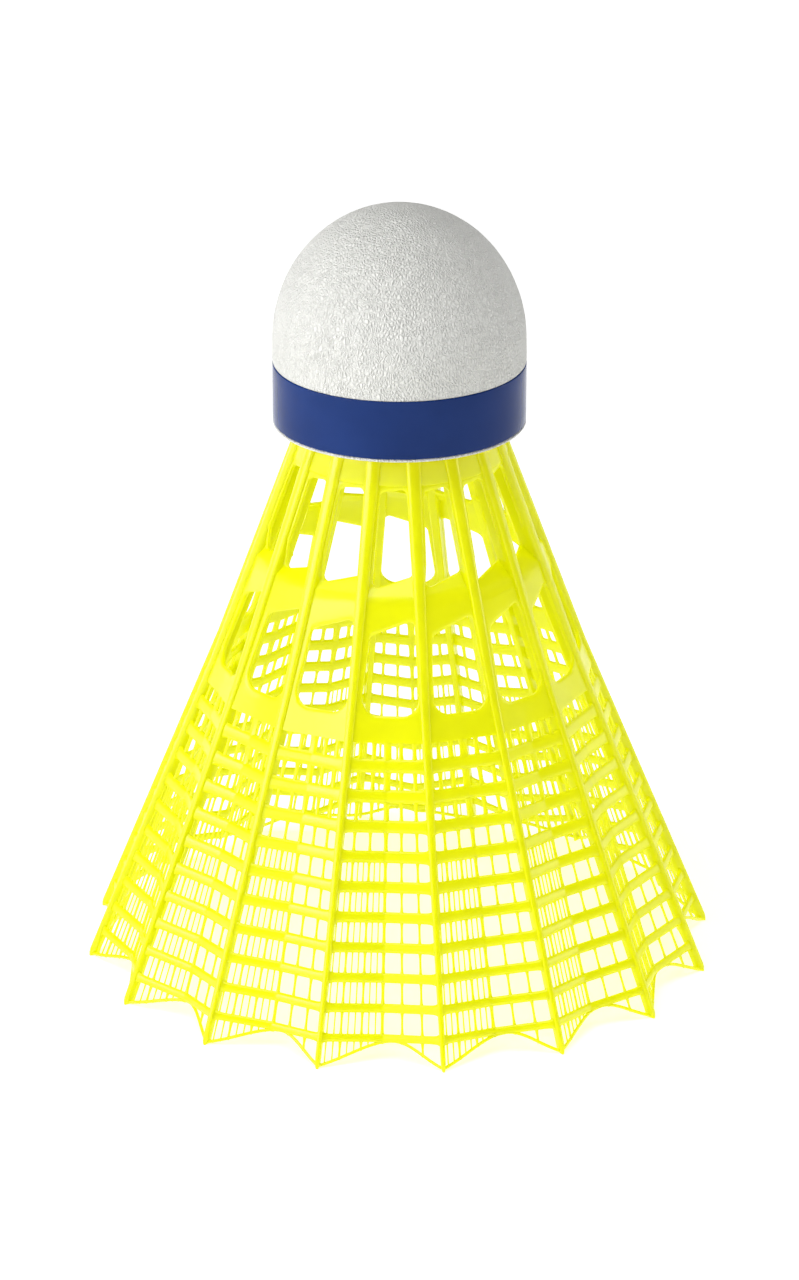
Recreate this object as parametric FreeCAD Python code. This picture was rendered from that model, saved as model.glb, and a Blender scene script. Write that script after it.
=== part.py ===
"""Badminton shuttlecock: a nylon skirt of sixteen ribs glued into a covered cork head.

Millimetres, +Z up. The shuttlecock stands on its sixteen rib tips with the cork head up.
The origin is the centre of the circle of rib tips, on the plane that they stand on, and
rib 1 lies over +X. The skirt is one moulding, written here as the simple shapes that meet
face to face in it: spigot, collar, ribs, vanes, ring band and mesh panels.
"""
import FreeCAD, Part
import math
import os

Vector = FreeCAD.Vector

# ---- driving dimensions -------------------------------------------------------------------
TOTAL_HEIGHT = 80.5          # rib tips to the top of the dome
TIP_RADIUS = 33.0            # circle through the rib tips
RIB_COUNT = 16
KNEE_Z = 33.1                # the ribs bend slightly here, at the top of the ring band
KNEE_RADIUS = 19.45
SKIRT_TOP_Z = 57.9           # the skirt ends here, under the head
SKIRT_TOP_RADIUS = 10.3

HEAD_RADIUS = 12.9           # over the cover and the band
BAND_BOTTOM_Z = 58.2
BAND_HEIGHT = 6.1
BAND_THICKNESS = 0.3
DOME_EQUATOR_Z = 66.7
COVER_THICKNESS = 0.6

SPIGOT_RADIUS = 8.2
SPIGOT_LENGTH = 9.0
SPIGOT_WALL = 1.4
COLLAR_BOTTOM_Z = 54.5
COLLAR_WALL = 1.3
CROWN_THICKNESS = 1.5
COLLAR_INSET = 0.5           # how far the ribs stand out of the collar

RIB_WIDTH_TOP, RIB_WIDTH_KNEE, RIB_WIDTH_TIP = 1.55, 0.96, 0.48
RIB_DEPTH_TOP, RIB_DEPTH_KNEE, RIB_DEPTH_TIP = 2.3, 1.7, 1.1

PANEL_INSET = 0.25           # how far the ribs stand out of the panels
PANEL_THICKNESS = 0.5
PLEAT_DEPTH = 1.75           # how far the middle of a panel falls in, at the tips
PLEAT_END_Z = 36.0           # the pleat would run out at this height
RING_BAND_BOTTOM_Z = 30.7
MESH_ROWS = 10
MESH_ROW_PITCH = 2.8
OPENING_HEIGHT = 1.5         # of the top row; each row below is a little taller
OPENING_GROWTH = 0.055
MIDDLE_THREAD = 0.35
MESH_EDGE = 0.25             # web left beside each rib
MESH_TOP_GAP = 0.1           # the first openings start this far below the ring band
BOTTOM_HOOP_Z = 2.65         # lower edge of the lowest hoop
RIM_START = 0.4              # the rim wire leaves each rib this far above its tip
RIM_WIRE = 0.4

VANE_BOTTOM_LEFT, VANE_BOTTOM_RIGHT = 40.5, 42.1
VANE_TOP_LEFT, VANE_TOP_RIGHT = 45.0, 46.3
VANE_CREASE_Z = 44.3
VANE_LEAN_LEFT, VANE_LEAN_RIGHT = 0.4, 1.2
VANE_INSET = 0.35
VANE_THICKNESS = 0.7

STEP_ANGLE = 360.0 / RIB_COUNT
HALF_STEP = math.radians(STEP_ANGLE / 2)
AXIS = Vector(0, 0, 1)
CENTRE = Vector(0, 0, 0)


# ---- helpers ------------------------------------------------------------------------------
def rib_radius(z):
    """Radius of a rib's outer edge: two straight runs that meet at the knee."""
    if z <= KNEE_Z:
        return TIP_RADIUS + (KNEE_RADIUS - TIP_RADIUS) * z / KNEE_Z
    share = (z - KNEE_Z) / (SKIRT_TOP_Z - KNEE_Z)
    return KNEE_RADIUS + (SKIRT_TOP_RADIUS - KNEE_RADIUS) * share


def closed_wire(points):
    return Part.makePolygon(points + points[:1])


def loft(sections):
    """Solid with flat or ruled sides through closed outlines."""
    return Part.makeLoft([closed_wire(points) for points in sections], True, True)


def revolved(profile):
    """Solid of revolution about +Z from (radius, z) points."""
    outline = closed_wire([Vector(radius, 0, z) for radius, z in profile])
    return Part.Face(outline).revolve(CENTRE, AXIS, 360)


def turned(shape, degrees):
    copy = shape.copy()
    copy.rotate(CENTRE, AXIS, degrees)
    return copy


def all_round(shape):
    """The shape repeated at every rib, as separate solids."""
    return Part.makeCompound([turned(shape, STEP_ANGLE * index) for index in range(RIB_COUNT)])


def write(name, shape):
    solids = shape.Solids
    group = solids[0] if len(solids) == 1 else Part.makeCompound(solids)
    assert group.isValid(), name
    group.exportStep("parts/%s.step" % name)
    print("%-18s %2d solids %8.2f mm3" % (name, len(solids), group.Volume))


# ---- head ---------------------------------------------------------------------------------
def half_dome(radius, bottom_z, top_z):
    """A closed straight-sided cylinder with a half ellipse on top, turned about +Z."""
    equator = Vector(0, 0, DOME_EQUATOR_Z)
    apex = Vector(0, 0, top_z)
    side = Vector(radius, 0, DOME_EQUATOR_Z)
    ellipse = Part.Ellipse(apex, side, equator)
    first, last = sorted((ellipse.parameter(side), ellipse.parameter(apex)))
    if last - first > math.pi:
        first, last = last, first + 2 * math.pi
    curve = ellipse.toShape(first, last)
    edges = [
        Part.makeLine(Vector(0, 0, bottom_z), Vector(radius, 0, bottom_z)),
        Part.makeLine(Vector(radius, 0, bottom_z), side),
        curve,
        Part.makeLine(apex, Vector(0, 0, bottom_z)),
    ]
    outline = Part.Wire(Part.__sortEdges__(edges))
    return Part.Face(outline).revolve(CENTRE, AXIS, 360)


def band():
    """Coloured tape wound round the bottom of the cover."""
    base = Vector(0, 0, BAND_BOTTOM_Z)
    outside = Part.makeCylinder(HEAD_RADIUS, BAND_HEIGHT, base)
    return outside.cut(Part.makeCylinder(HEAD_RADIUS - BAND_THICKNESS, BAND_HEIGHT, base))


def core():
    """Cork dome with the blind bore that takes the skirt's spigot."""
    dome = half_dome(HEAD_RADIUS - BAND_THICKNESS - COVER_THICKNESS, SKIRT_TOP_Z,
                     TOTAL_HEIGHT - COVER_THICKNESS)
    return dome.cut(Part.makeCylinder(SPIGOT_RADIUS, SPIGOT_LENGTH, Vector(0, 0, SKIRT_TOP_Z)))


def cover():
    """Thin synthetic leather over the cork, thinner under the band, with a lip below it."""
    outside = half_dome(HEAD_RADIUS, SKIRT_TOP_Z, TOTAL_HEIGHT)
    inside = half_dome(HEAD_RADIUS - BAND_THICKNESS - COVER_THICKNESS, SKIRT_TOP_Z,
                       TOTAL_HEIGHT - COVER_THICKNESS)
    return outside.cut(inside).cut(band())


# ---- skirt, solid part --------------------------------------------------------------------
def spigot():
    """Hollow plug, closed below, that is glued into the cork's bore."""
    top = SKIRT_TOP_Z + SPIGOT_LENGTH
    bore = SPIGOT_RADIUS - SPIGOT_WALL
    return revolved([(0, SKIRT_TOP_Z), (SPIGOT_RADIUS, SKIRT_TOP_Z), (SPIGOT_RADIUS, top),
                     (bore, top), (bore, SKIRT_TOP_Z + SPIGOT_WALL), (0, SKIRT_TOP_Z + SPIGOT_WALL)])


def collar():
    """Conical ring and crown plate that carry the ribs and the spigot."""
    outer_top = rib_radius(SKIRT_TOP_Z) - COLLAR_INSET
    outer_bottom = rib_radius(COLLAR_BOTTOM_Z) - COLLAR_INSET
    crown_z = SKIRT_TOP_Z - CROWN_THICKNESS
    inner_crown = rib_radius(crown_z) - COLLAR_INSET - COLLAR_WALL
    return revolved([(0, crown_z), (inner_crown, crown_z), (outer_bottom - COLLAR_WALL, COLLAR_BOTTOM_Z),
                     (outer_bottom, COLLAR_BOTTOM_Z), (outer_top, SKIRT_TOP_Z), (0, SKIRT_TOP_Z)])


def rib_section(z, width, depth):
    outer = rib_radius(z)
    half = width / 2
    return [Vector(outer, -half, z), Vector(outer, half, z),
            Vector(outer - depth, half, z), Vector(outer - depth, -half, z)]


def rib():
    """One rib over +X: a tapered bar with a slight knee, flat at its tip."""
    return loft([rib_section(0, RIB_WIDTH_TIP, RIB_DEPTH_TIP),
                 rib_section(KNEE_Z, RIB_WIDTH_KNEE, RIB_DEPTH_KNEE),
                 rib_section(SKIRT_TOP_Z, RIB_WIDTH_TOP, RIB_DEPTH_TOP)])


def vane_section(angle, bottom, top, lean):
    """Outline of a vane where it meets a rib: a plate that leans in above its crease."""
    crease_radius = rib_radius(VANE_CREASE_Z) - VANE_INSET
    bottom_radius = rib_radius(bottom) - VANE_INSET
    top_radius = rib_radius(top) - VANE_INSET - lean
    outline = [(bottom_radius, bottom), (crease_radius, VANE_CREASE_Z), (top_radius, top),
               (top_radius - VANE_THICKNESS, top), (crease_radius - VANE_THICKNESS, VANE_CREASE_Z),
               (bottom_radius - VANE_THICKNESS, bottom)]
    return [Vector(radius * math.cos(angle), radius * math.sin(angle), z) for radius, z in outline]


def vane():
    """One vane between rib 1 and rib 2: its edges slant, which makes the shuttlecock spin."""
    return loft([vane_section(0, VANE_BOTTOM_LEFT, VANE_TOP_LEFT, VANE_LEAN_LEFT),
                 vane_section(2 * HALF_STEP, VANE_BOTTOM_RIGHT, VANE_TOP_RIGHT, VANE_LEAN_RIGHT)])


# ---- skirt, mesh --------------------------------------------------------------------------
class PanelFrame:
    """Axes of the flat face between rib 1 and rib 2: across, up the slope, and inward."""

    def __init__(self):
        chord = math.cos(HALF_STEP)
        self.slope = math.atan2((TIP_RADIUS - KNEE_RADIUS) * chord, KNEE_Z)
        self.origin = Vector(TIP_RADIUS * chord * math.cos(HALF_STEP),
                             TIP_RADIUS * chord * math.sin(HALF_STEP), 0)
        out = Vector(math.cos(HALF_STEP), math.sin(HALF_STEP), 0)
        self.across = Vector(-math.sin(HALF_STEP), math.cos(HALF_STEP), 0)
        self.up = AXIS * math.cos(self.slope) - out * math.sin(self.slope)
        self.inward = -out * math.cos(self.slope) - AXIS * math.sin(self.slope)

    def along(self, z):
        """Distance up the slope to a height."""
        return z / math.cos(self.slope)

    def half_width(self, distance):
        """Half the distance between the two ribs' outer edges."""
        return rib_radius(distance * math.cos(self.slope)) * math.sin(HALF_STEP)

    def point(self, across, distance, depth):
        return self.origin + self.across * across + self.up * distance + self.inward * depth

    def block(self, outline):
        """Cutter through the panel with an outline of (across, distance) points."""
        face = Part.Face(closed_wire([self.point(across, distance, -1) for across, distance in outline]))
        return face.extrude(self.inward * (PLEAT_DEPTH + PANEL_THICKNESS + 2))

    def disc(self, distance, radius):
        """Round cutter through the panel, centred on its middle line."""
        return Part.makeCylinder(radius, PLEAT_DEPTH + PANEL_THICKNESS + 2,
                                 self.point(0, distance, -1), self.inward)


def pleated_plate(frame, bottom, top):
    """Plate from rib to rib, folded inward along its middle line."""
    sections = []
    for distance in (bottom, top):
        half = frame.half_width(distance)
        pleat = PLEAT_DEPTH * (1 - distance * math.cos(frame.slope) / PLEAT_END_Z)
        outer = [(-half, PANEL_INSET), (0, PANEL_INSET + pleat), (half, PANEL_INSET)]
        inner = [(across, depth + PANEL_THICKNESS) for across, depth in reversed(outer)]
        sections.append([frame.point(across, distance, depth) for across, depth in outer + inner])
    return loft(sections)


def mesh_row(frame, row):
    """The two openings of a row, one on each side of the middle thread."""
    top_z = RING_BAND_BOTTOM_Z - MESH_TOP_GAP - MESH_ROW_PITCH * row
    top = frame.along(top_z)
    bottom = frame.along(top_z - OPENING_HEIGHT - OPENING_GROWTH * row)
    edges = []
    for side in (-1, 1):
        near = side * MIDDLE_THREAD / 2
        rib_half = RIB_WIDTH_KNEE / 2 + MESH_EDGE
        low = side * (frame.half_width(bottom) - rib_half)
        high = side * (frame.half_width(top) - rib_half)
        edges.append(frame.block([(near, bottom), (low, bottom), (high, top), (near, top)]))
    return edges


def mesh_panel(frame):
    """One panel of hoops and a middle thread, ending in a scalloped rim between two tips."""
    half = frame.half_width(RIM_START)
    hoop = frame.along(BOTTOM_HOOP_Z)
    rise = hoop - RIM_WIRE / 2 - RIM_START
    radius = (half ** 2 + rise ** 2) / (2 * rise)
    centre = hoop - RIM_WIRE / 2 - radius
    cutters = [frame.disc(centre, radius)]
    below_hoop = frame.block([(-half, RIM_START), (half, RIM_START), (half, hoop), (-half, hoop)])
    cutters.extend(below_hoop.cut(frame.disc(centre, radius + RIM_WIRE)).Solids)
    for row in range(MESH_ROWS):
        cutters.extend(mesh_row(frame, row))
    plate = pleated_plate(frame, RIM_START, frame.along(RING_BAND_BOTTOM_Z))
    return plate.cut(Part.makeCompound(cutters))


def between_ribs(shape):
    """The shape with rib 1 and rib 2 taken out of it, so that it meets their sides."""
    left = rib()
    return shape.cut(left).cut(turned(left, STEP_ANGLE))


# ---- the assembly -------------------------------------------------------------------------
def main():
    os.makedirs("parts", exist_ok=True)
    frame = PanelFrame()
    ring_band = pleated_plate(frame, frame.along(RING_BAND_BOTTOM_Z), frame.along(KNEE_Z))
    write("cork_core", core())
    write("head_cover", cover())
    write("head_band", band())
    write("skirt_spigot", spigot())
    write("skirt_collar", collar())
    write("skirt_ribs", all_round(rib().cut(collar())))
    write("skirt_vanes", all_round(between_ribs(vane())))
    write("skirt_ring_band", all_round(between_ribs(ring_band)))
    write("skirt_mesh", all_round(between_ribs(mesh_panel(frame))))


main()
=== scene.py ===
"""Looks of a nylon badminton shuttlecock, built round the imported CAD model. Metres, +Z up."""
import math

import bmesh
import bpy
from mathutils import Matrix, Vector, noise


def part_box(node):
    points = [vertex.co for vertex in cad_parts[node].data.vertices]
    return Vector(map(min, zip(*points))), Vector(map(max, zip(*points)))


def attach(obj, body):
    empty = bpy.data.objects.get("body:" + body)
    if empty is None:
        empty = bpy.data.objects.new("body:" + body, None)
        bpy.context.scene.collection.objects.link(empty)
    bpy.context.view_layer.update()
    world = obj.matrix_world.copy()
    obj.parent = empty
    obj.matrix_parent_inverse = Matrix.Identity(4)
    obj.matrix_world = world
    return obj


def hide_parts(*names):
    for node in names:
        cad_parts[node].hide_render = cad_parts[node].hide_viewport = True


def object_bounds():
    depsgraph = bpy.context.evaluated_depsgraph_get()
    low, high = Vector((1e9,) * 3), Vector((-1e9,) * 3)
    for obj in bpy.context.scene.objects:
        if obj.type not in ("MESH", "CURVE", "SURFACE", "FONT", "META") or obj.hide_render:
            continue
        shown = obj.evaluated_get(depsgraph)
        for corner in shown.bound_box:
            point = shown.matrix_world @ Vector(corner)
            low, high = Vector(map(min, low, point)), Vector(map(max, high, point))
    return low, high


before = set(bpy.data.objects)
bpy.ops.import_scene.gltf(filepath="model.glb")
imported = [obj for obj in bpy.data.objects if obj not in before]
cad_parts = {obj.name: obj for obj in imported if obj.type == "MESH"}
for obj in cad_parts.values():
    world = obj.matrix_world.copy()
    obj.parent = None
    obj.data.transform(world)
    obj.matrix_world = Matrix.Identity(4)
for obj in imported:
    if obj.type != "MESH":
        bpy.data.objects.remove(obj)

cad_lo, cad_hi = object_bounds()

MM = 0.001
RIBS = 16
STEP = 2 * math.pi / RIBS
HALF = STEP / 2

# ---- places and sizes, the outer ones read from the CAD nodes ---------------------------------
_, ribs_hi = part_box("skirt_ribs")
collar_lo, collar_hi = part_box("skirt_collar")
band_lo, band_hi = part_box("head_band")
cover_lo, cover_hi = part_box("head_cover")

TIP_RADIUS = ribs_hi.x
SKIRT_TOP = ribs_hi.z
KNEE_Z = 33.1 * MM                 # top of the ring band, where the ribs bend
KNEE_RADIUS = 19.45 * MM
TOP_RADIUS = 10.3 * MM
HEAD_RADIUS = band_hi.x

RIB_HALF_WIDTH = (0.23 * MM, 0.475 * MM, 0.775 * MM)      # at the tip, the knee and the top
RIB_DEPTH = (1.1 * MM, 1.7 * MM, 2.3 * MM)
TIP_ROUNDING = 0.8 * MM            # the ribs narrow over this height at their tips
TIP_EASE = 0.55                    # width of the very tip, as a share of the rib's
TIP_SETBACK = 0.5 * MM

PLEAT_DEPTH = 1.75 * MM            # how far the middle of a panel falls in, at the tips
PLEAT_END = 36.0 * MM
MESH_TOP = 30.6 * MM               # top of the first row of openings
MESH_CENTRE = 0.23 * MM            # depth of the mesh's middle below its face
ROWS = 10
ROW_PITCH = 2.8 * MM
FIRST_OPENING = 1.5 * MM
OPENING_GROWTH = 0.055 * MM
LAST_HOOP_BOTTOM = 2.65 * MM
FIRST_FINE_ROW = 4                 # the rows from here down have fine threads
RIM_VALLEY = 0.2 * MM              # lowest point of the rim wire, at the ribs
RIM_APEX = 2.4 * MM                # rise of the rim's arches above it
RIM_PEAK = 0.2                     # the arches lean a little past the middle of each panel
PLATE = 0.5 * MM                   # thickness of the moulded panels

CREASE = 44.3 * MM                 # the vane folds inward above this line
VANE_BOTTOM = (40.6 * MM, 42.2 * MM)       # height of the vane's lower edge at its two ribs
VANE_TOP = (45.0 * MM, 46.3 * MM)
VANE_LEAN = (0.45 * MM, 1.15 * MM)
VANE_FADE = 2.5 * MM               # beside the upper window the lean fades out over this height

DOME_EQUATOR = 66.7 * MM           # the straight side of the head ends here
COVER_SKIN = 0.6 * MM
BAND_THICKNESS = 0.3 * MM
BAND_INNER = HEAD_RADIUS - BAND_THICKNESS


# ---- shape of the skirt -----------------------------------------------------------------------
def mix(a, b, share):
    return a + (b - a) * share


def clamp(value, low=0.0, high=1.0):
    return max(low, min(high, value))


def smooth(value):
    value = clamp(value)
    return value * value * (3 - 2 * value)


def along_rib(z, values):
    """A size that runs straight from the tip to the knee and from the knee to the top."""
    tip, knee, top = values
    if z <= KNEE_Z:
        return mix(tip, knee, z / KNEE_Z)
    return mix(knee, top, (z - KNEE_Z) / (SKIRT_TOP - KNEE_Z))


def rib_radius(z):
    return along_rib(z, (TIP_RADIUS, KNEE_RADIUS, TOP_RADIUS))


def slope(z):
    """Lean of a panel from the vertical, eased over the knee."""
    lower = math.atan2((TIP_RADIUS - KNEE_RADIUS) * math.cos(HALF), KNEE_Z)
    upper = math.atan2((KNEE_RADIUS - TOP_RADIUS) * math.cos(HALF), SKIRT_TOP - KNEE_Z)
    return mix(lower, upper, smooth((z - KNEE_Z + MM) / (2 * MM)))


def half_gap(z):
    """Half the distance between the middle planes of two ribs."""
    return rib_radius(z) * math.sin(HALF)


def panel_point(panel, across, z, depth):
    """A point of a panel: across is -1 at its first rib and 1 at the next; depth is inward."""
    middle = STEP * (panel + 0.5)
    lean = slope(z)
    radial = rib_radius(z) * math.cos(HALF) - depth * math.cos(lean)
    sideways = across * half_gap(z)
    return Vector((radial * math.cos(middle) - sideways * math.sin(middle),
                   radial * math.sin(middle) + sideways * math.cos(middle),
                   z - depth * math.sin(lean)))


def pleat(across, z):
    return PLEAT_DEPTH * max(0.0, 1 - z / PLEAT_END) * (1 - abs(across))


def inset(z):
    """How far the panels lie below the ribs' outer edges."""
    return mix(0.25 * MM, 0.38 * MM, smooth((z - 28 * MM) / (14 * MM)))


def row_edges(row):
    """(top, bottom) height of a row of openings."""
    top = MESH_TOP - ROW_PITCH * row
    return top, top - FIRST_OPENING - OPENING_GROWTH * row


def rim_height(across):
    """The scalloped rim: a rounded valley at each rib and a leaning arch between."""
    share = (across + 1) / (RIM_PEAK + 1) if across < RIM_PEAK else (1 - across) / (1 - RIM_PEAK)
    return RIM_VALLEY + RIM_APEX * (math.sin(math.pi * share / 2) + smooth(share)) / 2


# ---- mesh helpers -----------------------------------------------------------------------------
class Shape:
    """Points and faces gathered for one piece."""

    def __init__(self):
        self.points = []
        self.faces = []

    def tube(self, rings):
        """Skin over rings of equally many points, closed at both ends."""
        count = len(rings[0])
        start = len(self.points)
        for ring in rings:
            self.points.extend(ring)
        for level in range(len(rings) - 1):
            low = start + level * count
            high = low + count
            for i in range(count):
                j = (i + 1) % count
                self.faces.append((low + i, low + j, high + j, high + i))
        last = start + (len(rings) - 1) * count
        self.faces.append(tuple(reversed(range(start, start + count))))
        self.faces.append(tuple(range(last, last + count)))


def piece(name, shape, material, replaces=(), sharp_angle=40):
    """Makes an object of a shape, smooth but for its sharp edges, riding on the one body."""
    mesh = bpy.data.meshes.new(name)
    mesh.from_pydata([tuple(point) for point in shape.points], [], shape.faces)
    work = bmesh.new()
    work.from_mesh(mesh)
    bmesh.ops.remove_doubles(work, verts=work.verts, dist=1e-7)
    bmesh.ops.recalc_face_normals(work, faces=work.faces)
    for face in work.faces:
        face.smooth = True
    for edge in work.edges:
        edge.smooth = len(edge.link_faces) != 2 or edge.calc_face_angle() < math.radians(sharp_angle)
    work.to_mesh(mesh)
    work.free()
    mesh.materials.append(material)
    made = bpy.data.objects.new(name, mesh)
    bpy.context.scene.collection.objects.link(made)
    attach(made, "root")
    if replaces:
        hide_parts(*replaces)
    return made


def lathe(profile, segments, wobble=None):
    """Shape of revolution about Z from (radius, z) points: a closed loop, or a line from axis to axis."""
    shape = Shape()
    rings = []
    for radius, z in profile:
        ring = []
        for i in range(segments if radius else 1):
            angle = 2 * math.pi * i / segments
            r = radius + (wobble(angle, radius, z) if wobble and radius else 0)
            ring.append(len(shape.points))
            shape.points.append(Vector((r * math.cos(angle), r * math.sin(angle), z)))
        rings.append(ring)
    closing = [(rings[-1], rings[0])] if profile[0][0] > 0 else []
    for low, high in list(zip(rings, rings[1:])) + closing:
        if len(low) == len(high) == 1:
            continue
        for i in range(segments):
            j = (i + 1) % segments
            corners = (low[i % len(low)], low[j % len(low)], high[j % len(high)], high[i % len(high)])
            shape.faces.append(tuple(dict.fromkeys(corners)))
    return shape


def arc(centre, radius, start, end, steps):
    """(radius, z) points on a rounded corner; the angles are in degrees."""
    points = []
    for i in range(steps + 1):
        angle = math.radians(mix(start, end, i / steps))
        points.append((centre[0] + radius * math.cos(angle), centre[1] + radius * math.sin(angle)))
    return points


# ---- materials --------------------------------------------------------------------------------
class Nodes:
    """Short hand for building a node material round one Principled shader."""

    def __init__(self, name):
        self.material = bpy.data.materials.new(name)
        self.material.use_nodes = True
        self.tree = self.material.node_tree
        self.shader = self.tree.nodes["Principled BSDF"]
        self.place = self.add("ShaderNodeTexCoord").outputs["Object"]

    def add(self, kind, **settings):
        node = self.tree.nodes.new(kind)
        for key, value in settings.items():
            setattr(node, key, value)
        return node

    def link(self, source, target):
        self.tree.links.new(source, target)

    def noise(self, scale, detail=3.0, roughness=0.55, vector=None):
        node = self.add("ShaderNodeTexNoise")
        node.inputs["Scale"].default_value = scale
        node.inputs["Detail"].default_value = detail
        node.inputs["Roughness"].default_value = roughness
        self.link(vector or self.place, node.inputs["Vector"])
        return node.outputs["Fac"]

    def cells(self, scale, feature="F1", vector=None):
        node = self.add("ShaderNodeTexVoronoi", feature=feature)
        node.inputs["Scale"].default_value = scale
        self.link(vector or self.place, node.inputs["Vector"])
        return node

    def stretched(self, scale):
        node = self.add("ShaderNodeMapping")
        node.inputs["Scale"].default_value = scale
        self.link(self.place, node.inputs["Vector"])
        return node.outputs["Vector"]

    def warped(self, vector, scale, reach):
        """The vector pushed about by a noise, so that a pattern on it flows unevenly."""
        node = self.add("ShaderNodeTexNoise")
        node.inputs["Scale"].default_value = scale
        self.link(vector, node.inputs["Vector"])
        push = self.add("ShaderNodeVectorMath", operation="MULTIPLY_ADD")
        push.inputs[1].default_value = (reach, reach, reach)
        self.link(node.outputs["Color"], push.inputs[0])
        self.link(vector, push.inputs[2])
        return push.outputs["Vector"]

    def ramp(self, source, stops):
        node = self.add("ShaderNodeValToRGB")
        elements = node.color_ramp.elements
        while len(elements) < len(stops):
            elements.new(0.5)
        for element, (position, colour) in zip(elements, stops):
            element.position = position
            element.color = (*colour, 1.0)
        self.link(source, node.inputs["Fac"])
        return node.outputs["Color"]

    def spread(self, source, low, high, start=0.0, end=1.0):
        """The source, from start to end, mapped to low to high."""
        node = self.add("ShaderNodeMapRange")
        node.inputs["From Min"].default_value = start
        node.inputs["From Max"].default_value = end
        node.inputs["To Min"].default_value = low
        node.inputs["To Max"].default_value = high
        self.link(source, node.inputs["Value"])
        return node.outputs["Result"]

    def bump(self, height, distance, strength=1.0, normal=None):
        node = self.add("ShaderNodeBump")
        node.inputs["Distance"].default_value = distance
        node.inputs["Strength"].default_value = strength
        self.link(height, node.inputs["Height"])
        if normal:
            self.link(normal, node.inputs["Normal"])
        return node.outputs["Normal"]

    def set(self, **values):
        for name, value in values.items():
            self.shader.inputs[name.replace("_", " ")].default_value = value


def nylon_material():
    """Lemon nylon of a fluorescent yellow: light passes through the thin moulding and spreads in it. Its
    emission is painted light, a steady glow that brightens the shaded parts.
    """
    m = Nodes("lemon_nylon_painted_glow")
    cloud = m.noise(220, 3)
    colour = m.ramp(cloud, [(0.3, (0.55, 0.565, 0.0)), (0.7, (0.61, 0.62, 0.001))])
    m.link(colour, m.shader.inputs["Base Color"])
    m.link(m.spread(m.noise(900, 4), 0.18, 0.28), m.shader.inputs["Roughness"])
    m.link(m.bump(m.noise(1600, 3), 0.02 * MM, 0.5), m.shader.inputs["Normal"])
    # The emission here is painted light: a steady glow, lit by no lamp, that lifts the shade on every
    # nylon part.
    m.set(Subsurface_Weight=0.8, Subsurface_Radius=(1.0, 1.0, 0.1), Subsurface_Scale=1.5 * MM,
          Emission_Color=(0.80, 0.81, 0.0, 1.0), Emission_Strength=0.27, IOR=1.53,
          Specular_IOR_Level=0.35)
    return m.material


def leather_material():
    """Matte off-white synthetic leather with a fine wrinkled grain, its creases darkened with painted
    shade.
    """
    m = Nodes("white_leather")
    flow = m.warped(m.stretched((1.0, 1.0, 0.65)), 500, 0.5 * MM)
    wrinkles = m.cells(3100, "DISTANCE_TO_EDGE", vector=flow).outputs["Distance"]
    uneven = m.noise(800, 4, vector=flow)
    # Painted shade: the colour is darker along the creases of the wrinkles.
    colour = m.ramp(wrinkles, [(0.0, (0.665, 0.665, 0.635)), (0.22, (0.745, 0.745, 0.712))])
    m.link(colour, m.shader.inputs["Base Color"])
    m.link(m.spread(uneven, 0.5, 0.7), m.shader.inputs["Roughness"])
    first = m.bump(wrinkles, 0.36 * MM, 1.0)
    m.link(m.bump(uneven, 0.12 * MM, 0.2, first), m.shader.inputs["Normal"])
    m.set(Sheen_Weight=0.1, Sheen_Roughness=0.5)
    return m.material


def tape_material():
    """Glossy royal blue tape, a little uneven and dulled by fine rubbing."""
    m = Nodes("blue_tape")
    colour = m.ramp(m.noise(90, 4), [(0.35, (0.007, 0.026, 0.125)), (0.7, (0.011, 0.036, 0.165))])
    m.link(colour, m.shader.inputs["Base Color"])
    m.link(m.spread(m.noise(700, 3), 0.12, 0.2), m.shader.inputs["Roughness"])
    m.link(m.bump(m.noise(300, 2), 0.02 * MM, 0.4), m.shader.inputs["Normal"])
    m.set(IOR=1.45, Specular_IOR_Level=0.14)
    return m.material


def cork_material():
    """Pressed cork: warm granules of uneven tone with dark gaps."""
    m = Nodes("pressed_cork")
    cells = m.cells(700)
    tone = m.add("ShaderNodeSeparateColor")
    m.link(cells.outputs["Color"], tone.inputs["Color"])
    colour = m.ramp(tone.outputs["Red"], [(0.0, (0.30, 0.16, 0.075)), (0.35, (0.52, 0.32, 0.17)),
                                          (1.0, (0.68, 0.46, 0.27))])
    m.link(colour, m.shader.inputs["Base Color"])
    edges = m.cells(700, "DISTANCE_TO_EDGE").outputs["Distance"]
    m.link(m.bump(edges, 0.2 * MM, 0.7), m.shader.inputs["Normal"])
    m.set(Roughness=0.85)
    return m.material


def floor_material():
    """Plain white floor that stays white far off, where the lights no longer reach."""
    m = Nodes("pale_floor")
    distance = m.add("ShaderNodeVectorMath", operation="LENGTH")
    m.link(m.place, distance.inputs[0])
    m.link(m.spread(distance.outputs["Value"], 0.5, 0.95, 0.25, 0.7), m.shader.inputs["Emission Strength"])
    m.link(m.ramp(m.noise(6, 2), [(0.3, (0.90, 0.90, 0.895)), (0.7, (0.92, 0.92, 0.915))]),
           m.shader.inputs["Base Color"])
    m.set(Roughness=0.6, Emission_Color=(1.0, 1.0, 1.0, 1.0))
    return m.material


nylon = nylon_material()
leather = leather_material()
tape = tape_material()
cork = cork_material()


# ---- ribs -------------------------------------------------------------------------------------
def rib_outline(width, depth):
    """(inward, sideways) outline of a rib: a rounded ridge in front and drafted sides."""
    points = []
    steps = 8
    bulge = 0.55 * width
    for i in range(steps + 1):
        angle = math.pi * i / steps
        points.append((bulge * (1 - math.sin(angle)), width * math.cos(angle)))
    side = ((0.6, 0.93), (0.93, 0.84), (1.0, 0.6))        # shares of the depth and the width
    points += [(depth * down, -width * out) for down, out in side]
    points += [(depth * down, width * out) for down, out in reversed(side)]
    return points


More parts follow.
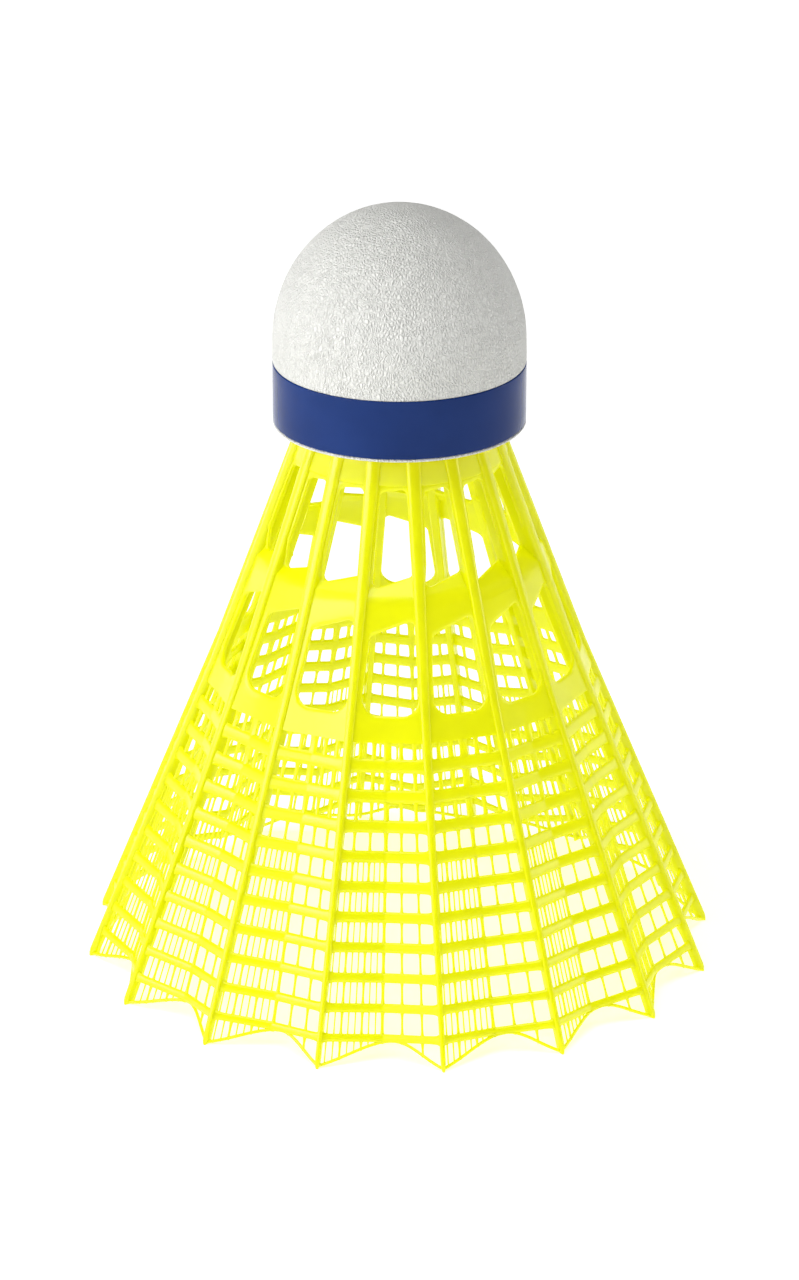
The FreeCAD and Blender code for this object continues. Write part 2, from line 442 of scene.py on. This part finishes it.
def rib_levels():
    """Heights of a rib's sections, closer together at its rounded tip."""
    lower, upper = 12, 10          # steps below and above the knee
    levels = [TIP_ROUNDING * share for share in (0.0, 0.1, 0.25, 0.5, 1.0)]
    levels += [KNEE_Z * i / lower for i in range(1, lower + 1)]
    levels += [mix(KNEE_Z, SKIRT_TOP, i / upper) for i in range(1, upper + 1)]
    return levels


def make_ribs():
    shape = Shape()
    for rib in range(RIBS):
        angle = STEP * rib
        rings = []
        for z in rib_levels():
            ease = mix(TIP_EASE, 1.0, smooth(z / TIP_ROUNDING) ** 0.5)
            width = along_rib(z, RIB_HALF_WIDTH) * ease
            depth = along_rib(z, RIB_DEPTH)
            ring = []
            for inward, sideways in rib_outline(width, depth):
                radius = rib_radius(z) - inward - (1 - ease) * TIP_SETBACK
                ring.append(Vector((radius * math.cos(angle) - sideways * math.sin(angle),
                                    radius * math.sin(angle) + sideways * math.cos(angle), z)))
            rings.append(ring)
        shape.tube(rings)
    return piece("nylon_ribs", shape, nylon, ["skirt_ribs"])


# ---- window panels: ring band, webs, vanes and collar faces -------------------------------------
ARC_STEPS = 8                      # steps round a window's corner
SIDE_STEPS = 5                     # steps along a window's side
SIDE_SPANS = ARC_STEPS + SIDE_STEPS


def rounded_outline(corners, radii):
    """Closed outline through rounded corners; it starts at the middle of the first corner."""
    outline = []
    count = len(corners)
    for i, corner in enumerate(corners):
        here = Vector(corner)
        before = (Vector(corners[i - 1]) - here).normalized()
        after = (Vector(corners[(i + 1) % count]) - here).normalized()
        turn = before.angle(after)
        start = here + before * (radii[i] / math.tan(turn / 2))
        end = here + after * (radii[i] / math.tan(turn / 2))
        centre = here + (before + after).normalized() * (radii[i] / math.sin(turn / 2))
        for k in range(ARC_STEPS + 1):
            arm = (start - centre).lerp(end - centre, k / ARC_STEPS).normalized()
            outline.append(centre + arm * radii[i])
        following = Vector(corners[(i + 1) % count])
        next_turn = (here - following).angle(Vector(corners[(i + 2) % count]) - following)
        far = following - after * (radii[(i + 1) % count] / math.tan(next_turn / 2))
        for k in range(1, SIDE_STEPS):
            outline.append(end.lerp(far, k / SIDE_STEPS))
    half_arc = ARC_STEPS // 2
    return outline[half_arc:] + outline[:half_arc]


def plate_edge(bottom, top):
    """Outer edge of a plate as (across, height) points that pair with a window's outline."""
    edge = []
    for start, end in (((-1, bottom), (1, bottom)), ((1, bottom), (1, top)),
                       ((1, top), (-1, top)), ((-1, top), (-1, bottom))):
        for k in range(SIDE_SPANS):
            share = k / SIDE_SPANS
            edge.append((mix(start[0], end[0], share), mix(start[1], end[1], share)))
    return edge


def window_corners(heights, webs):
    """Corners of a window from its corner heights and the webs beside the ribs there."""
    corners = []
    for z, side, web in zip(heights, (-1, 1, 1, -1), webs):
        reach = half_gap(z) - along_rib(z, RIB_HALF_WIDTH) - web
        corners.append((side * reach, z))
    return corners


def vane_lean(across, z):
    """How far the upper part of the vane leans in, fading out beside the upper window."""
    share = (across + 1) / 2
    top = mix(*VANE_TOP, share)
    lean = mix(*VANE_LEAN, share)
    if z <= top:
        return lean * clamp((z - CREASE) / (top - CREASE))
    return lean * (1 - smooth((z - top) / VANE_FADE))


def plate_point(panel, across, z, below):
    """A point of the window plate, by place between the ribs, height and depth below its face."""
    return panel_point(panel, across, z, inset(z) + pleat(across, z) + vane_lean(across, z) + below)


def window_plate(shape, panel, outline, bottom, top):
    """Plate between two ribs with one rounded window in it, open where it joins at the crease."""
    hole = [(point.x / half_gap(point.y), point.y) for point in outline]
    edge = plate_edge(bottom, top)
    soft = 0.1 * MM                # eased edge of the window
    near = 0.12                    # share of the way from the window to the plate's edge
    face = ((1.0, 0.0), (0.6, 0.0), (0.3, 0.0), (near, 0.0), (near * 0.3, soft * 0.3), (0.0, soft))
    layout = face + tuple((share, PLATE - below) for share, below in reversed(face))
    start = len(shape.points)
    count = len(edge)
    for share, below in layout:
        for inner, outer in zip(hole, edge):
            place = (mix(inner[0], outer[0], share), mix(inner[1], outer[1], share))
            shape.points.append(plate_point(panel, *place, below))
    for level in range(len(layout)):
        low = start + level * count
        high = start + (level + 1) % len(layout) * count
        for i in range(count):
            j = (i + 1) % count
            on_crease = abs(edge[i][1] - CREASE) + abs(edge[j][1] - CREASE) < 1e-9
            if level == len(layout) - 1 and on_crease:
                continue
            shape.faces.append((low + i, low + j, high + j, high + i))


def make_window_panels():
    shape = Shape()
    lower = rounded_outline(
        window_corners((KNEE_Z, KNEE_Z, VANE_BOTTOM[1], VANE_BOTTOM[0]),
                       (0.45 * MM, 0.15 * MM, 0.15 * MM, 0.7 * MM)),
        (1.6 * MM, 1.6 * MM, 0.5 * MM, 0.8 * MM))
    upper = rounded_outline(
        window_corners((VANE_TOP[0], VANE_TOP[1], collar_lo.z, collar_lo.z - 0.3 * MM),
                       (0.35 * MM, 0.15 * MM, 0.15 * MM, 0.3 * MM)),
        (0.5 * MM, 0.4 * MM, 0.6 * MM, 0.6 * MM))
    for panel in range(RIBS):
        window_plate(shape, panel, lower, MESH_TOP, CREASE)
        window_plate(shape, panel, upper, CREASE, SKIRT_TOP)
    return piece("nylon_window_panels", shape, nylon, ["skirt_vanes", "skirt_ring_band"], 50)


# ---- mesh: hoops, threads and rim ---------------------------------------------------------------
def hoop_edges(index):
    """(top, bottom) height of a hoop; the last one is the hoop above the rim."""
    top = row_edges(index)[1]
    if index == ROWS - 1:
        return top, LAST_HOOP_BOTTOM
    return top, row_edges(index + 1)[0]


HOOP_STATIONS = (0.0, 0.03, 0.1, 0.25, 0.5, 0.7, 0.8, 0.86, 0.91, 0.96, 1.0)
HOOP_SECTION = ((1, 0.28), (0.75, 0.06), (0.4, 0.0), (-0.4, 0.0), (-0.75, 0.06), (-1, 0.28),
                (-1, 0.72), (-0.75, 0.94), (0.75, 0.94), (1, 0.72))


def make_hoops():
    """Flat bars with eased edges that widen where they run into the ribs."""
    shape = Shape()
    thickness = 2 * MESH_CENTRE
    flare_size = 0.22 * MM
    stations = [-share for share in reversed(HOOP_STATIONS[1:])] + list(HOOP_STATIONS)
    for panel in range(RIBS):
        for index in range(ROWS):
            top, bottom = hoop_edges(index)
            rings = []
            for across in stations:
                middle = (top + bottom) / 2
                gap = (1 - abs(across)) * half_gap(middle) - along_rib(middle, RIB_HALF_WIDTH)
                flare = flare_size * math.exp(-max(gap, 0.0) / flare_size)
                tall = (top - bottom) / 2 + flare
                start = inset(middle) + pleat(across, middle)
                rings.append([panel_point(panel, across, middle + up * tall, start + deep * thickness)
                              for up, deep in HOOP_SECTION])
            shape.tube(rings)
    return piece("nylon_hoops", shape, nylon, ["skirt_mesh"], 60)


def thread_levels(first_row):
    """(height, how near a hoop) stations down a thread, from its first row to the last hoop."""
    levels = [(row_edges(first_row)[0] + 0.3 * MM, 1.0)]
    for row in range(first_row, ROWS):
        top, bottom = row_edges(row)
        tall = top - bottom
        levels += [(top, 1.0), (top - 0.12 * tall, 0.4), (top - 0.3 * tall, 0.0),
                   (bottom + 0.3 * tall, 0.0), (bottom + 0.12 * tall, 0.4), (bottom, 1.0)]
    return levels


def thread(shape, panel, across, first_row, half_width, thickness, flare, sides):
    """One thread from the top of a row down to the rim wire, no deeper than the hoops."""
    deepest = 0.22 * MM
    rim_clearance = 0.15 * MM      # where the rim is nearer than this, the thread ends at the hoop
    levels = thread_levels(first_row)
    end = rim_height(across)
    hoop_bottom = hoop_edges(ROWS - 1)[1]
    if hoop_bottom - end > rim_clearance:
        levels += [(hoop_bottom, 1.0), (mix(hoop_bottom, end, 0.4), 0.0), (end, 0.3)]
    rings = []
    for z, near in levels:
        wide = half_width(z) + flare * near
        deep = min(thickness / 2 + flare * 0.5 * near, deepest)
        centre = inset(z) + pleat(across, z) + MESH_CENTRE
        gap = half_gap(z)
        ring = []
        for i in range(sides):
            angle = 2 * math.pi * (i + 0.5) / sides
            ring.append(panel_point(panel, across + wide * math.cos(angle) / gap, z,
                                    centre + deep * math.sin(angle)))
        rings.append(ring)
    shape.tube(rings)


def main_half_width(z):
    """Half width of a main thread: broad near the windows, thin towards the rim."""
    return mix(0.12 * MM, 0.23 * MM, smooth((z - 17 * MM) / (14 * MM)))


def middle_half_width(z):
    return mix(0.165 * MM, 0.42 * MM, smooth((z - 18 * MM) / (12 * MM)))


def fine_half_width(_):
    return 0.075 * MM


def make_threads():
    shape = Shape()
    for panel in range(RIBS):
        for across in (-2 / 3, -1 / 3, 1 / 3, 2 / 3):
            thread(shape, panel, across, 0, main_half_width, 0.26 * MM, 0.07 * MM, 8)
        thread(shape, panel, 0.0, 0, middle_half_width, 0.34 * MM, 0.06 * MM, 8)
    return piece("nylon_threads", shape, nylon, (), 60)


def make_fine_threads():
    """Two fine threads between neighbouring main ones, in the left half of each panel."""
    shape = Shape()
    for panel in range(RIBS):
        for ninth in (1, 2, 4, 5, 7, 8):
            across = ninth / 9 - 1
            thread(shape, panel, across, FIRST_FINE_ROW, fine_half_width, 0.17 * MM, 0.03 * MM, 6)
    return piece("nylon_fine_threads", shape, nylon, (), 60)


def make_rim():
    """The thin wire that runs in arches from tip to tip."""
    shape = Shape()
    radius = 0.17 * MM
    sides = 8
    steps = 28
    for panel in range(RIBS):
        path = []
        for i in range(steps + 1):
            across = -1 + 2 * i / steps
            z = rim_height(across) + radius
            path.append(panel_point(panel, across, z, inset(z) + pleat(across, z) + MESH_CENTRE))
        rings = []
        for i, here in enumerate(path):
            along = (path[min(i + 1, steps)] - path[max(i - 1, 0)]).normalized()
            outward = Vector((here.x, here.y, 0)).normalized()
            side = along.cross(outward).normalized()
            front = side.cross(along)
            turns = [2 * math.pi * k / sides for k in range(sides)]
            rings.append([here + side * radius * math.cos(turn) + front * radius * math.sin(turn)
                          for turn in turns])
        shape.tube(rings)
    return piece("nylon_rim_wire", shape, nylon, (), 60)


def make_collar():
    """Inside of the skirt's top: a conical ring and a crown plate with the stub of its gate."""
    wall = 1.3 * MM
    soft = 0.35 * MM
    crown = SKIRT_TOP - 1.5 * MM
    outer_bottom = collar_hi.x
    outer_top = TOP_RADIUS - 0.5 * MM
    inner_bottom = outer_bottom - wall
    crown_share = (crown - collar_lo.z) / (SKIRT_TOP - collar_lo.z)
    inner_top = mix(outer_bottom, outer_top, crown_share) - wall
    corner_z = collar_lo.z + soft
    profile = [(0, crown - 0.35 * MM), (0.9 * MM, crown - 0.35 * MM), (1.05 * MM, crown - 0.25 * MM)]
    profile += [(1.2 * MM, crown), (inner_top - soft, crown)]
    profile += [(inner_top - 0.1 * MM, crown - 0.1 * MM), (inner_top, crown - soft)]
    profile += arc((inner_bottom + soft, corner_z), soft, 180, 270, 5)
    profile += arc((outer_bottom - soft, corner_z), soft, 270, 350, 5)
    profile += [(outer_top, SKIRT_TOP), (0, SKIRT_TOP)]
    return piece("nylon_collar", lathe(profile, 96), nylon, ["skirt_collar"])


# ---- head ---------------------------------------------------------------------------------------
def dome(radius, top, steps):
    """(radius, z) points of a quarter ellipse from the equator of the dome up to the axis."""
    points = []
    for i in range(steps):
        angle = math.pi / 2 * i / steps
        points.append((radius * math.cos(angle), mix(DOME_EQUATOR, top, math.sin(angle))))
    return points + [(0, top)]


def make_cover():
    """Leather cover: a shallow lip below the band, a straight side and a half-ellipse dome."""
    inner = BAND_INNER - COVER_SKIN
    top = cover_hi.z
    lip = 0.14 * MM                # radius of the lip under the band
    rise = band_hi.z + 0.4 * MM    # above the band the leather comes out to its full width here
    profile = [(inner, cover_lo.z + 0.05 * MM), (inner + 0.1 * MM, cover_lo.z)]
    profile += arc((HEAD_RADIUS - lip, cover_lo.z + lip), lip, 270, 400, 5)
    profile += [(BAND_INNER, band_lo.z + 0.06 * MM), (BAND_INNER, band_hi.z - 0.1 * MM)]
    profile += [(HEAD_RADIUS - 0.12 * MM, band_hi.z + 0.02 * MM)]
    profile += [(HEAD_RADIUS - 0.03 * MM, band_hi.z + 0.15 * MM)]
    profile += [(HEAD_RADIUS, mix(rise, DOME_EQUATOR, share)) for share in (0.0, 0.3, 0.6, 1.0)]
    profile += dome(HEAD_RADIUS, top, 40)[1:]
    profile += reversed(dome(inner, top - COVER_SKIN, 16))

    def uneven(angle, radius, z):
        spot = Vector((radius * math.cos(angle), radius * math.sin(angle), z)) / (5 * MM)
        amount = smooth((z - band_hi.z) / (3 * MM)) * clamp(radius / (4 * MM))
        return 0.05 * MM * amount * (noise.noise(spot) - 0.5)

    return piece("leather_cover", lathe(profile, 128, uneven), leather, ["head_cover"], 60)


def make_band():
    """Blue tape round the head, its end lapped over its start at the back."""
    bottom, top = band_lo.z, band_hi.z
    soft = 0.13 * MM
    profile = [(BAND_INNER, bottom)]
    profile += arc((HEAD_RADIUS - soft, bottom + soft), soft, 270, 360, 5)
    profile += [(HEAD_RADIUS, mix(bottom, top, share)) for share in (0.2, 0.4, 0.6, 0.8)]
    profile += arc((HEAD_RADIUS - soft, top - soft), soft, 0, 90, 5)
    profile += [(BAND_INNER, top)]
    seam = math.radians(100)
    lap = math.radians(14)

    def lapped(angle, radius, _):
        if radius <= BAND_INNER:
            return 0
        turn = (angle - seam) % (2 * math.pi)
        start = smooth(turn / math.radians(0.7))
        end = 1 - smooth((turn - lap) / math.radians(6))
        return 0.07 * MM * start * end

    return piece("blue_band", lathe(profile, 360, lapped), tape, ["head_band"], 60)


# ---- the assembly -------------------------------------------------------------------------------
make_ribs()
make_window_panels()
make_hoops()
make_threads()
make_fine_threads()
make_rim()
make_collar()
make_cover()
make_band()
for node_name, material in (("cork_core", cork), ("skirt_spigot", nylon)):
    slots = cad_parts[node_name].data.materials
    slots.clear()
    slots.append(material)


# ---- floor, light and camera --------------------------------------------------------------------
def make_floor():
    mesh = bpy.data.meshes.new("floor")
    size = 3.0
    corners = [(-size, -size, 0), (size, -size, 0), (size, size, 0), (-size, size, 0)]
    mesh.from_pydata(corners, [], [(0, 1, 2, 3)])
    mesh.materials.append(floor_material())
    floor = bpy.data.objects.new("floor", mesh)
    bpy.context.scene.collection.objects.link(floor)
    floor.location.z = cad_lo.z - 0.02 * MM


def softbox(name, azimuth, elevation, distance, width, height, power, target):
    """Area light that looks at the target from a direction; azimuth 0 is in front, 90 at +X."""
    light = bpy.data.lights.new(name, "AREA")
    light.shape = "RECTANGLE"
    light.size = width
    light.size_y = height
    light.energy = power
    made = bpy.data.objects.new(name, light)
    bpy.context.scene.collection.objects.link(made)
    a, e = math.radians(azimuth), math.radians(elevation)
    away = Vector((math.sin(a) * math.cos(e), -math.cos(a) * math.cos(e), math.sin(e)))
    made.location = target + away * distance
    made.rotation_euler = (-away).to_track_quat("-Z", "Y").to_euler()


def make_lights(target):
    softbox("key", -72, 17, 1.0, 1.0, 0.25, 4.4, target)
    softbox("strip", -80, 20, 1.0, 0.35, 0.6, 1.8, target)
    softbox("top", -40, 72, 1.0, 0.8, 0.8, 6.6, target)
    softbox("fill", 95, 14, 1.0, 0.25, 0.6, 1.2, target)


def make_world():
    """White backdrop near the horizon that fades to a dim ceiling, so that the light has a side."""
    world = bpy.data.worlds.new("white_horizon")
    bpy.context.scene.world = world
    world.use_nodes = True
    tree = world.node_tree
    direction = tree.nodes.new("ShaderNodeTexCoord").outputs["Generated"]
    split = tree.nodes.new("ShaderNodeSeparateXYZ")
    fade = tree.nodes.new("ShaderNodeMapRange")
    fade.inputs["From Min"].default_value = math.sin(math.radians(5))
    fade.inputs["From Max"].default_value = math.sin(math.radians(10))
    fade.inputs["To Min"].default_value = 1.0
    fade.inputs["To Max"].default_value = 0.12
    tree.links.new(direction, split.inputs["Vector"])
    tree.links.new(split.outputs["Z"], fade.inputs["Value"])
    background = tree.nodes["Background"]
    background.inputs["Color"].default_value = (1.0, 1.0, 1.0, 1.0)
    tree.links.new(fade.outputs["Result"], background.inputs["Strength"])


def make_camera():
    """Same distance and direction as the photographer's, aimed at the shuttlecock itself."""
    azimuth = math.radians(-7.8)
    elevation = math.radians(21.2)
    distance = 600 * MM
    away = Vector((math.sin(azimuth) * math.cos(elevation), -math.cos(azimuth) * math.cos(elevation),
                   math.sin(elevation)))
    data = bpy.data.cameras.new("camera")
    data.sensor_width = 36.0
    data.lens = 164.0
    data.clip_start = 0.01
    camera = bpy.data.objects.new("camera", data)
    bpy.context.scene.collection.objects.link(camera)
    camera.location = Vector((0, 0, 40 * MM)) + away * distance
    aim = Vector((0, 0, 33.75 * MM))
    camera.rotation_euler = (aim - camera.location).to_track_quat("-Z", "Y").to_euler()
    bpy.context.scene.camera = camera


make_floor()
make_lights(Vector((0, 0, 40 * MM)))
make_world()
make_camera()
bpy.context.scene.view_settings.view_transform = "Standard"
bpy.context.scene.view_settings.look = "None"

bpy.context.view_layer.update()
